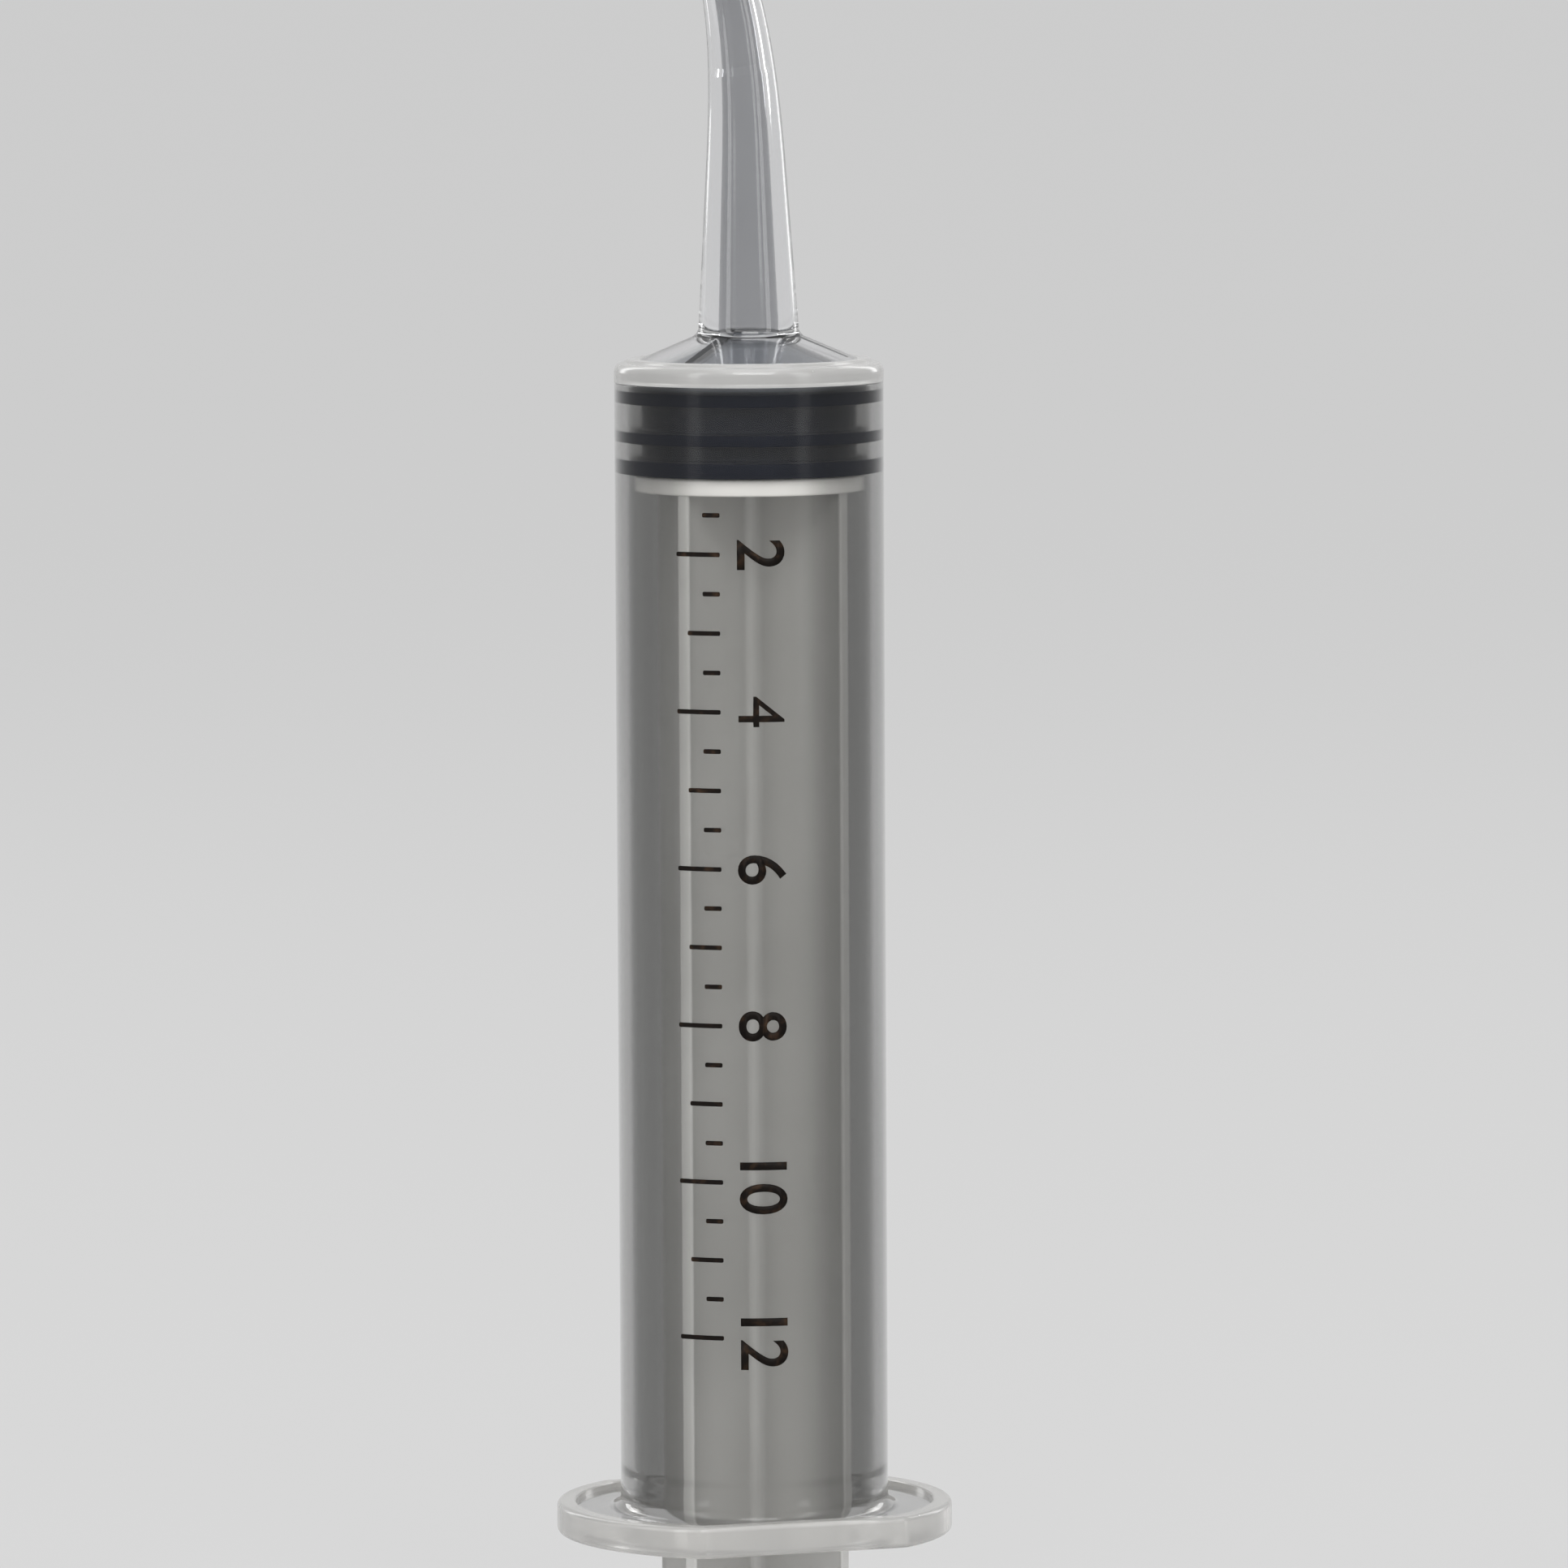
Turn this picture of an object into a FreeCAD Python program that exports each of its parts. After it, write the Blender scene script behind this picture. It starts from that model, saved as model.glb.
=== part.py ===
# Curved tip irrigation syringe: a one-piece barrel, a rubber stopper and a plunger rod.
# Millimetres, with +Z up towards the tip. The origin is the centre of the thumb rest's
# lower side, and the plunger is pushed home.
import FreeCAD, Part
import os
from math import cos, degrees, radians, sin, sqrt, tan

Vector = FreeCAD.Vector
up = Vector(0, 0, 1)
centre = Vector(0, 0, 0)

# Barrel tube
bore_radius = 7.9
barrel_wall = 0.9
bore_depth = 75.75          # from the flange's lower side to the edge of the roof
mouth_flare = 0.4           # how much wider the bore is at its mouth
mouth_depth = 1.0
stop_bead_rise = 0.28       # the ring inside the mouth that keeps the stopper in
stop_bead_length = 1.8
stop_bead_setback = 2.6     # from the flange's lower side to the ring

# Shoulder
shoulder_slope = 23.0       # degrees above level, outside and inside
shoulder_wall = 0.95
ledge_rise = 1.17           # from the edge of the roof to the flat ledge outside
ledge_round = 0.6
ledge_width = 0.62
bead_rise = 0.25            # the ring on the ledge
bead_width = 1.0

# Nozzle, measured along its centre line
nozzle_root_radius = 3.3
nozzle_tip_radius = 1.1
nozzle_root_round = 0.6
nozzle_stub = 0.9           # the upright foot that carries the round at the root
nozzle_straight = 9.7
nozzle_curve = 24.4
nozzle_lean = 0.65          # degrees towards -X along the straight stretch
tip_angle = 43.0            # degrees between the tip's end and the barrel's axis
nozzle_bends = 12           # short cones, each turned as much as the next, that make the curve

# Bore of the nozzle: a straight core as far as the step, then a curved one
core_root_radius = 1.95
core_end_radius = 1.35
core_length = 16.9
core_step = 0.18
outlet_radius = 0.65
core_bends = 7

# Finger flange, a round plate with two flats and a sunk web on the tip side
flange_radius = 13.0
flange_flat = 10.95         # from the axis to each flat
flange_turn = -72.0         # degrees from +X to the front flat
flange_thickness = 2.05
flange_edge_bevel = 0.35
web_sink = 0.38
flange_rim_width = 1.25
flange_root_round = 0.8

# Rubber stopper
seal_clearance = 0.04
seal_setback = 0.58         # from the edge of the roof to the front seal
seal_lengths = (0.85, 0.77, 1.0)
groove_lengths = (1.77, 1.06)
groove_depth = 0.85
seal_edge_bevel = 0.15
nose_gap = 0.42             # between the nose and the barrel's roof, across both
nose_flat_radius = 2.2
nose_edge_radius = 7.3
nose_rib_count = 3
nose_rib_turn = -128.0      # degrees from +X to the first rib
nose_rib_width = 0.65
nose_rib_start = 2.6
nose_rib_end = 6.3
nose_rib_clearance = 0.05

# Plunger rod
disc_clearance = 0.45
disc_thickness = 1.1
disc_bevel = 0.15
disc_gap = 0.05
stem_clearance = 0.6
stem_web = 0.9
stem_corner_round = 0.9
stem_edge_round = 0.2
stem_turn = -35.0
neck_radius = 2.9
neck_length = 1.9
head_radius = 4.4
head_front_radius = 3.0
head_length = 2.5
head_bevel = 0.35
head_clearance = 0.08

# Thumb rest
thumb_radius = 10.5
thumb_thickness = 1.6
thumb_bevel = 0.35
thumb_rim_width = 1.5
thumb_dish = 0.35
thumb_gap = 10.4            # between the thumb rest and the flange with the plunger home

# Heights that follow from the sizes above
flange_z = thumb_thickness + thumb_gap
roof_z = flange_z + bore_depth
barrel_radius = bore_radius + barrel_wall
slope = tan(radians(shoulder_slope))
slope_wall = shoulder_wall / cos(radians(shoulder_slope))
ledge_z = roof_z + ledge_rise
bead_radius = barrel_radius - ledge_width


def roof_height(radius):
    return roof_z + (bore_radius - radius) * slope


def shoulder_height(radius):
    return roof_height(radius) + slope_wall


nozzle_z = shoulder_height(nozzle_root_radius)
nozzle_length = nozzle_straight + nozzle_curve
nose_drop = nose_gap / cos(radians(shoulder_slope))
nose_z = roof_height(nose_flat_radius) - nose_drop
seal_radius = bore_radius - seal_clearance
seal_z = roof_z - seal_setback
stopper_z = seal_z - sum(seal_lengths) - sum(groove_lengths)
disc_z = stopper_z - disc_gap


def sides(before, here, after):
    # a corner's point and the directions back along one side and ahead along the other
    point = Vector(here[0], here[1], 0)
    back = Vector(before[0], before[1], 0) - point
    ahead = Vector(after[0], after[1], 0) - point
    return point, back.normalize(), ahead.normalize()


def round_points(before, here, after):
    # where the round at a corner starts, its middle and where it ends
    point, back, ahead = sides(before, here, after)
    radius = here[2]
    half = back.getAngle(ahead) / 2
    inward = (back + ahead).normalize()
    reach = radius / tan(half)
    middle = point + inward * (radius / sin(half) - radius)
    return point + back * reach, middle, point + ahead * reach


def bevel_points(before, here, after):
    point, back, ahead = sides(before, here, after)
    return point + back * here[2], point + ahead * here[2]


def rounded_face(corners, upright=True):
    # a face from corners of the form (u, v), (u, v, radius of the round)
    # or (u, v, length of the bevel along each side, "bevel")
    def place(flat):
        return Vector(flat.x, 0, flat.y) if upright else Vector(flat.x, flat.y, 0)

    count = len(corners)
    rounds = []
    for i, corner in enumerate(corners):
        before, after = corners[i - 1], corners[(i + 1) % count]
        if len(corner) == 2:
            point = Vector(corner[0], corner[1], 0)
            rounds.append((point, None, point))
        elif len(corner) == 3:
            rounds.append(round_points(before, corner, after))
        else:
            start, end = bevel_points(before, corner, after)
            rounds.append((start, None, end))
    edges = []
    for i, (start, middle, end) in enumerate(rounds):
        if middle is not None:
            edges.append(Part.Arc(place(start), place(middle), place(end)).toShape())
        elif end.distanceToPoint(start) > 1e-6:
            edges.append(Part.makeLine(place(start), place(end)))
        following = rounds[(i + 1) % count][0]
        if end.distanceToPoint(following) > 1e-6:
            edges.append(Part.makeLine(place(end), place(following)))
    return Part.Face(Part.Wire(edges))


def revolved(corners):
    return rounded_face(corners).revolve(centre, up, 360)


def nozzle_radius(distance):
    return nozzle_root_radius + (nozzle_tip_radius - nozzle_root_radius) * distance / nozzle_length


def nozzle_heading(distance):
    # radians from +Z towards -X, growing with the square of the way round the curve
    if distance <= nozzle_stub:
        return 0.0
    along = max(0.0, distance - nozzle_straight) / nozzle_curve
    return radians(nozzle_lean + (tip_angle - nozzle_lean) * along ** 2)


def nozzle_point(distance):
    # the centre line, added up in short steps
    steps = 200
    step = distance / steps
    point = Vector(0, 0, nozzle_z)
    for i in range(steps):
        heading = nozzle_heading((i + 0.5) * step)
        point = point + Vector(-sin(heading), 0, cos(heading)) * step
    return point


def ring(point, heading, radius):
    circle = Part.Wire(Part.makeCircle(radius))
    circle.rotate(centre, Vector(0, 1, 0), -degrees(heading))
    circle.translate(point)
    return circle


def curved_tube(start, end, radius_at, bends):
    # short cones along the centre line, closer together where it curves more
    first = ((start - nozzle_straight) / nozzle_curve) ** 2
    last = ((end - nozzle_straight) / nozzle_curve) ** 2
    rings = []
    for i in range(bends + 1):
        along = sqrt(first + (last - first) * i / bends)
        distance = nozzle_straight + nozzle_curve * along
        rings.append(ring(nozzle_point(distance), nozzle_heading(distance), radius_at(distance)))
    return Part.makeLoft(rings, True, True)


def curved_core_radius(distance):
    part = (distance - core_length) / (nozzle_length - core_length)
    start = core_end_radius - core_step
    return start + (outlet_radius - start) * part


def make_nozzle():
    foot = ring(nozzle_point(nozzle_stub), 0, nozzle_radius(nozzle_stub))
    bend = nozzle_straight
    knee = ring(nozzle_point(bend), nozzle_heading(bend), nozzle_radius(bend))
    straight = Part.makeLoft([foot, knee], True, True)
    return straight.fuse(curved_tube(bend, nozzle_length, nozzle_radius, nozzle_bends))


def make_core():
    lean = radians(nozzle_lean)
    foot_point = Vector(0, 0, nozzle_z + nozzle_stub)
    reach = core_length - nozzle_stub
    end_point = foot_point + Vector(-sin(lean), 0, cos(lean)) * reach
    foot = ring(foot_point, 0, core_root_radius)
    straight = Part.makeLoft([foot, ring(end_point, lean, core_end_radius)], True, True)
    overlap = 0.2
    start, end = core_length - overlap, nozzle_length + overlap
    curved = curved_tube(start, end, curved_core_radius, core_bends)
    return straight.fuse(curved)


def make_flange():
    top = flange_z + flange_thickness
    plate = Part.makeCylinder(flange_radius, flange_thickness, Vector(0, 0, flange_z))
    plate = plate.common(flat_slab(flange_flat, flange_z, flange_thickness))
    level = [e for e in plate.Edges if abs(e.BoundBox.ZLength) < 1e-6]
    plate = plate.makeChamfer(flange_edge_bevel, level)
    sunk = top - web_sink
    pocket = Part.makeCylinder(flange_radius - flange_rim_width, flange_thickness, Vector(0, 0, sunk))
    pocket = pocket.common(flat_slab(flange_flat - flange_rim_width, sunk, flange_thickness))
    return plate.cut(pocket)


def flat_slab(half_width, z, height):
    # a block across the flange whose two long sides are its flats
    reach = 2 * flange_radius
    slab = Part.makeBox(2 * half_width, 2 * reach, height, Vector(-half_width, -reach, z))
    slab.rotate(centre, up, flange_turn)
    return slab


def make_barrel():
    web_z = flange_z + flange_thickness - web_sink
    foot_radius = barrel_radius + flange_root_round
    bead_top = ledge_z + bead_rise
    bead_foot = bead_radius - bead_width
    stub_z = nozzle_z + nozzle_stub
    body = revolved([
        (0, flange_z),
        (foot_radius, flange_z),
        (foot_radius, web_z),
        (barrel_radius, web_z, flange_root_round * 0.999),
        (barrel_radius, ledge_z, ledge_round),
        (bead_radius, ledge_z),
        (bead_radius - bead_rise, bead_top),
        (bead_foot + bead_rise, bead_top),
        (bead_foot, shoulder_height(bead_foot)),
        (nozzle_root_radius, nozzle_z, nozzle_root_round),
        (nozzle_radius(nozzle_stub), stub_z),
        (0, stub_z),
    ])
    stop_start = flange_z + stop_bead_setback
    stop_slant = stop_bead_length * 0.3
    stop_radius = bore_radius - stop_bead_rise
    hollow = revolved([
        (0, flange_z),
        (bore_radius + mouth_flare, flange_z),
        (bore_radius, flange_z + mouth_depth),
        (bore_radius, stop_start),
        (stop_radius, stop_start + stop_slant),
        (stop_radius, stop_start + stop_bead_length - stop_slant),
        (bore_radius, stop_start + stop_bead_length),
        (bore_radius, roof_z),
        (core_root_radius, roof_height(core_root_radius)),
        (core_root_radius, stub_z),
        (0, stub_z),
    ])
    barrel = body.fuse([make_flange(), make_nozzle()])
    return barrel.cut([hollow, make_core()]).removeSplitter()


def seal_profile():
    # the seals and grooves down the stopper's side, from the front to the rear
    corners = []
    z = seal_z
    groove_radius = seal_radius - groove_depth
    for length, groove in zip(seal_lengths, groove_lengths + (0,)):
        corners.append((seal_radius, z))
        z -= length
        if groove:
            corners.append((seal_radius, z))
            corners.append((groove_radius, z))
            z -= groove
            corners.append((groove_radius, z))
    corners.append((seal_radius, z, seal_edge_bevel, "bevel"))
    return corners


def make_stopper():
    mouth_radius = neck_radius + head_clearance
    pocket_radius = head_radius + head_clearance
    pocket_front = head_front_radius + head_clearance
    pocket_z = stopper_z + neck_length - disc_gap - head_clearance
    pocket_top = disc_z + neck_length + head_length + head_clearance
    nose_edge_z = roof_height(nose_edge_radius) - nose_drop
    stopper = revolved([
        (0, nose_z),
        (nose_flat_radius, nose_z, seal_edge_bevel, "bevel"),
        (nose_edge_radius, nose_edge_z),
    ] + seal_profile() + [
        (mouth_radius, stopper_z, seal_edge_bevel, "bevel"),
        (mouth_radius, pocket_z),
        (pocket_radius, pocket_z),
        (pocket_radius, pocket_z + head_length * 0.25),
        (pocket_front, pocket_top),
        (0, pocket_top),
    ])
    return stopper.fuse(make_nose_ribs()).removeSplitter()


def make_nose_ribs():
    # low radial ribs that keep the nose off the barrel's roof
    lift = nose_rib_clearance / cos(radians(shoulder_slope))
    inner = nose_rib_start - 1
    outer = nose_rib_end + 1
    band = revolved([
        (inner, roof_height(inner) - lift),
        (outer, roof_height(outer) - lift),
        (outer, roof_height(outer) - 2 * nose_drop),
        (inner, roof_height(inner) - 2 * nose_drop),
    ])
    half = nose_rib_width / 2
    low = roof_z - bore_radius
    tall = 2 * bore_radius
    length = nose_rib_end - half - nose_rib_start
    bar = Part.makeBox(length, nose_rib_width, tall, Vector(nose_rib_start, -half, low))
    end = Part.makeCylinder(half, tall, Vector(nose_rib_end - half, 0, low))
    shape = bar.fuse(end).removeSplitter()
    ribs = []
    for i in range(nose_rib_count):
        prism = shape.copy()
        prism.rotate(centre, up, nose_rib_turn + i * 360 / nose_rib_count)
        ribs.append(prism.common(band))
    return ribs


def make_stem():
    # the rod's cross section, pulled up from the thumb rest to the disc
    half = stem_web / 2
    reach = bore_radius - stem_clearance
    corners = []
    for i in range(4):
        ahead = Vector(cos(radians(90 * i)), sin(radians(90 * i)), 0)
        side = Vector(-ahead.y, ahead.x, 0)
        right = ahead * reach - side * half
        left = ahead * reach + side * half
        crook = ahead * half + side * half
        corners.append((right.x, right.y, stem_edge_round))
        corners.append((left.x, left.y, stem_edge_round))
        corners.append((crook.x, crook.y, stem_corner_round))
    foot_z = thumb_thickness / 2
    top_z = disc_z - disc_thickness / 2
    face = rounded_face(corners, upright=False)
    face.translate(Vector(0, 0, foot_z))
    stem = face.extrude(Vector(0, 0, top_z - foot_z))
    stem.rotate(centre, up, stem_turn)
    return stem


def make_plunger_rod():
    disc_radius = bore_radius - disc_clearance
    head_z = disc_z + neck_length
    front = revolved([
        (0, disc_z - disc_thickness),
        (disc_radius, disc_z - disc_thickness),
        (disc_radius, disc_z, disc_bevel, "bevel"),
        (neck_radius, disc_z),
        (neck_radius, head_z),
        (head_radius, head_z),
        (head_radius, head_z + head_length * 0.25),
        (head_front_radius, head_z + head_length, head_bevel, "bevel"),
        (0, head_z + head_length),
    ])
    dish_radius = thumb_radius - thumb_rim_width
    rest = revolved([
        (0, thumb_dish),
        (dish_radius, thumb_dish),
        (dish_radius + thumb_dish, 0),
        (thumb_radius, 0, thumb_bevel, "bevel"),
        (thumb_radius, thumb_thickness, thumb_bevel, "bevel"),
        (0, thumb_thickness),
    ])
    return front.fuse([make_stem(), rest]).removeSplitter()


os.makedirs("parts", exist_ok=True)
pieces = {
    "barrel": make_barrel(),
    "stopper": make_stopper(),
    "plunger_rod": make_plunger_rod(),
}
for name, shape in pieces.items():
    shape.exportStep("parts/" + name + ".step")
    box = shape.BoundBox
    print(name, shape.ShapeType, len(shape.Solids), shape.isValid(), round(shape.Volume, 1),
          "z", round(box.ZMin, 2), round(box.ZMax, 2), "x", round(box.XMin, 2), round(box.XMax, 2))
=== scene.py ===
from math import cos, hypot, pi, radians, sin, tan

import bmesh
import bpy
from mathutils import Euler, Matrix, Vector


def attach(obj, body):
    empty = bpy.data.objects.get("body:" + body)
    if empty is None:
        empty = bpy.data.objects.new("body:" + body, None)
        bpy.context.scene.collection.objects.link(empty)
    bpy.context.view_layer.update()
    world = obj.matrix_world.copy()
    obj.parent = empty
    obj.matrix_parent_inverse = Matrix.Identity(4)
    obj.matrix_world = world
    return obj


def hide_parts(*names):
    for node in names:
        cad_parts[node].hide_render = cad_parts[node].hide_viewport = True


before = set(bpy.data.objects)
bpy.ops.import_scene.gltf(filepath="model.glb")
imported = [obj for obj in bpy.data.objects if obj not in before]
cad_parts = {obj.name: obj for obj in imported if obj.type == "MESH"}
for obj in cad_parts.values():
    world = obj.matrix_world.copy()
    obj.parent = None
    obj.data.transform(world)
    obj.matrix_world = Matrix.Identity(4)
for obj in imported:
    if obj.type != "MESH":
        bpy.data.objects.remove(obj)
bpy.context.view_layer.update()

mm = 0.001
near = 0.004 * mm           # how close a point has to be to count as being at a place


# Modelling helpers

def deselectAll():
    if bpy.context.object and bpy.context.object.mode != "OBJECT":
        bpy.ops.object.mode_set(mode="OBJECT")
    bpy.ops.object.select_all(action="DESELECT")


def makeActive(piece):
    deselectAll()
    piece.select_set(True)
    bpy.context.view_layer.objects.active = piece


def startEditing(piece, kind="VERT"):
    makeActive(piece)
    bpy.ops.object.mode_set(mode="EDIT")
    bpy.ops.mesh.select_mode(type=kind)


def pick(kind, test):
    # selects the verts, edges or faces of the piece in edit mode that pass the test
    piece = bpy.context.object
    bpy.ops.mesh.select_mode(type=kind[:-1].upper())
    bpy.ops.mesh.select_all(action="DESELECT")
    mesh = bmesh.from_edit_mesh(piece.data)
    for part in getattr(mesh, kind):
        if test(part):
            part.select = True
    mesh.select_flush_mode()
    bmesh.update_edit_mesh(piece.data)


def pickVerts(test):
    pick("verts", lambda v: test(v.co))


def pickEdges(test, openOnly=False):
    pick("edges", lambda e: (e.is_boundary or not openOnly) and all(test(v.co) for v in e.verts))


def atHeight(z):
    return lambda co: abs(co.z - z * mm) < near


def applyPlace(piece):
    makeActive(piece)
    bpy.ops.object.transform_apply(location=True, rotation=True, scale=True)


def mergePieces(pieces, name):
    deselectAll()
    for piece in pieces:
        piece.select_set(True)
    bpy.context.view_layer.objects.active = pieces[0]
    bpy.ops.object.join()
    pieces[0].name = name
    return pieces[0]


def paintFaces(piece, materials, tests):
    # each material goes on the faces that pass its test
    for material in materials:
        piece.data.materials.append(material)
    startEditing(piece, "FACE")
    for slot, test in enumerate(tests, 1):
        pick("faces", test)
        piece.active_material_index = slot
        bpy.ops.object.material_slot_assign()
    bpy.ops.object.mode_set(mode="OBJECT")


def closeUp(piece):
    # doubles merged and every face turned outwards
    startEditing(piece)
    bpy.ops.mesh.select_all(action="SELECT")
    bpy.ops.mesh.remove_doubles(threshold=0.002 * mm)
    bpy.ops.mesh.select_all(action="SELECT")
    bpy.ops.mesh.normals_make_consistent(inside=False)
    bpy.ops.object.mode_set(mode="OBJECT")


def smoothPiece(piece, angle=32):
    makeActive(piece)
    bpy.ops.object.shade_smooth_by_angle(angle=radians(angle))
    modifier = piece.modifiers.new("evenShading", "WEIGHTED_NORMAL")
    modifier.keep_sharp = True
    bpy.ops.object.modifier_apply(modifier=modifier.name)


def uniteWith(piece, other):
    makeActive(piece)
    modifier = piece.modifiers.new("unite", "BOOLEAN")
    modifier.operation = "UNION"
    modifier.solver = "EXACT"
    modifier.object = other
    bpy.ops.object.modifier_apply(modifier=modifier.name)
    deselectAll()
    other.select_set(True)
    bpy.ops.object.delete()


def addPoint(name, place):
    # a single vertex: a small plane, merged at its centre
    deselectAll()
    bpy.ops.mesh.primitive_plane_add(size=mm, location=[n * mm for n in place])
    piece = bpy.context.object
    piece.name = name
    applyPlace(piece)
    startEditing(piece)
    bpy.ops.mesh.select_all(action="SELECT")
    bpy.ops.mesh.merge(type="CENTER")
    return piece


def drawOutline(name, corners, place):
    # one vertex, extruded from corner to corner, then bevelled where a corner gives a reach
    points = [Vector(place(corner)) for corner in corners]
    piece = addPoint(name, points[0])
    for start, end in zip(points, points[1:]):
        bpy.ops.mesh.extrude_region_move(TRANSFORM_OT_translate={"value": (end - start) * mm})
    for corner, point in zip(corners, points):
        if len(corner) > 2:
            pickVerts(lambda co: (co - point * mm).length < near)
            segments = corner[3] if len(corner) > 3 else 4
            bpy.ops.mesh.bevel(offset=corner[2] * mm, segments=segments, affect="VERTICES")
    return piece


def turnOutline(name, corners, steps):
    # corners are (radius, height), (radius, height, bevel reach) or (..., segments)
    piece = drawOutline(name, corners, lambda c: (c[0], 0, c[1]))
    bpy.ops.mesh.select_all(action="SELECT")
    bpy.ops.mesh.spin(steps=steps, angle=2 * pi, center=(0, 0, 0), axis=(0, 0, 1))
    bpy.ops.mesh.select_all(action="SELECT")
    bpy.ops.mesh.remove_doubles(threshold=0.001 * mm)
    bpy.ops.object.mode_set(mode="OBJECT")
    return piece


# Barrel, with its shoulder, curved nozzle and finger flange

barrelSizes = {
    "steps": 192,           # faces round the tube
    "radius": 8.8,
    "bore": 7.9,
    "roofZ": 87.75,         # where the bore's side meets its roof
    "slope": 23.0,          # of the shoulder, in degrees
    "roofWall": 1.032,      # the shoulder's wall, measured upright
    "ledgeZ": 88.92,
    "cornerRound": 0.6,
    "bead": (7.18, 8.18, 0.25),     # inner and outer radius and rise of the ring on the ledge
    "beadRound": 0.15,
    "flangeRound": 0.8,     # where the tube meets the flange's web
    "mouthZ": 12.0,
    "mouthDepth": 1.0,
    "mouthFlare": 0.4,
    "mouthRing": 0.9,       # how far the underside reaches out from the flared mouth
    "stopBead": (14.6, 16.4, 0.08),     # bottom, top and rise
}


def roofHeight(radius):
    s = barrelSizes
    return s["roofZ"] + (s["bore"] - radius) * tan(radians(s["slope"]))


def shoulderHeight(radius):
    return roofHeight(radius) + barrelSizes["roofWall"]


nozzleSizes = {
    "rings": 46,
    "rootRadius": 3.3,
    "rootRound": 0.42,
    "tipRadius": 1.1,
    "stub": 0.9,
    "straight": 9.7,
    "curve": 24.4,
    "lean": 0.65,           # degrees
    "tipAngle": 43.0,
    "coreRoot": 1.95,
    "coreEnd": 1.35,
    "coreLength": 16.9,
    "coreStep": 0.06,
    "outlet": 0.65,
    "lipRound": 0.13,
}
nozzleLength = nozzleSizes["straight"] + nozzleSizes["curve"]
nozzleZ = shoulderHeight(nozzleSizes["rootRadius"])


def nozzleRadius(distance):
    n = nozzleSizes
    return n["rootRadius"] + (n["tipRadius"] - n["rootRadius"]) * distance / nozzleLength


def coreRadius(distance):
    n = nozzleSizes
    if distance <= n["coreLength"]:
        part = (distance - n["stub"]) / (n["coreLength"] - n["stub"])
        return n["coreRoot"] + (n["coreEnd"] - n["coreRoot"]) * part
    part = (distance - n["coreLength"]) / (nozzleLength - n["coreLength"])
    start = n["coreEnd"] - n["coreStep"]
    return start + (n["outlet"] - start) * part


def nozzleHeading(distance):
    # radians from upright towards -X
    n = nozzleSizes
    if distance <= n["stub"]:
        return 0.0
    along = max(0.0, distance - n["straight"]) / n["curve"]
    return radians(n["lean"] + (n["tipAngle"] - n["lean"]) * along ** 2)


def extrudeNozzle(name, radiusAt, extraStops=()):
    # a circle at the root, extruded along the curve, turned and narrowed at each stop
    n = nozzleSizes
    stops = [n["stub"] + (nozzleLength - n["stub"]) * i / n["rings"] for i in range(n["rings"] + 1)]
    stops = sorted(stops + list(extraStops))
    centre = Vector((0, 0, nozzleZ + n["stub"])) * mm
    deselectAll()
    bpy.ops.mesh.primitive_circle_add(vertices=barrelSizes["steps"], radius=radiusAt(stops[0]) * mm,
                                      location=centre)
    piece = bpy.context.object
    piece.name = name
    applyPlace(piece)
    startEditing(piece, "EDGE")
    bpy.ops.mesh.select_all(action="SELECT")
    for before, here in zip(stops, stops[1:]):
        middle = nozzleHeading((before + here) / 2)
        move = Vector((-sin(middle), 0, cos(middle))) * (here - before) * mm
        centre = centre + move
        bpy.ops.mesh.extrude_region_move(TRANSFORM_OT_translate={"value": move})
        ratio = radiusAt(here) / radiusAt(before)
        bpy.ops.transform.resize(value=(ratio, ratio, ratio), center_override=centre)
        turn = nozzleHeading(here) - nozzleHeading(before)
        bpy.ops.transform.rotate(value=turn, orient_axis="Y", center_override=centre)
    bpy.ops.object.mode_set(mode="OBJECT")
    return piece, centre


def makeTube():
    s = barrelSizes
    n = nozzleSizes
    beadIn, beadOut, beadRise = s["bead"]
    soft = s["beadRound"]
    ledge = s["ledgeZ"]
    stubTop = nozzleZ + n["stub"]
    web = flangeSizes["top"] - flangeSizes["webSink"]
    outside = turnOutline("barrelOutside", [
        (nozzleRadius(n["stub"]), stubTop),
        (n["rootRadius"], nozzleZ, n["rootRound"], 8),
        (beadIn, shoulderHeight(beadIn), 0.1, 3),
        (beadIn + beadRise, ledge + beadRise, soft, 4),
        (beadOut - beadRise, ledge + beadRise, soft, 4),
        (beadOut, ledge, 0.08, 3),
        (s["radius"], ledge, s["cornerRound"], 8),
        (s["radius"], s["roofZ"] - 0.1),        # where the thick corner begins
        (s["radius"], web, s["flangeRound"], 8),
        (s["radius"] + s["flangeRound"] + 0.05, web),
    ], s["steps"])
    low, high, rise = s["stopBead"]
    slant = (high - low) * 0.3
    mouth = s["bore"] + s["mouthFlare"]
    inside = turnOutline("barrelInside", [
        (n["coreRoot"], stubTop),
        (n["coreRoot"], roofHeight(n["coreRoot"]), 0.3, 5),
        (s["bore"], s["roofZ"], 0.25, 5),
        (s["bore"], high, soft, 3),
        (s["bore"] - rise, high - slant, soft, 3),
        (s["bore"] - rise, low + slant, soft, 3),
        (s["bore"], low, soft, 3),
        (s["bore"], s["mouthZ"] + s["mouthDepth"], 0.3, 3),
        (mouth, s["mouthZ"], 0.2, 4),
        (mouth + s["mouthRing"], s["mouthZ"]),
    ], s["steps"])
    return outside, inside


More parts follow.
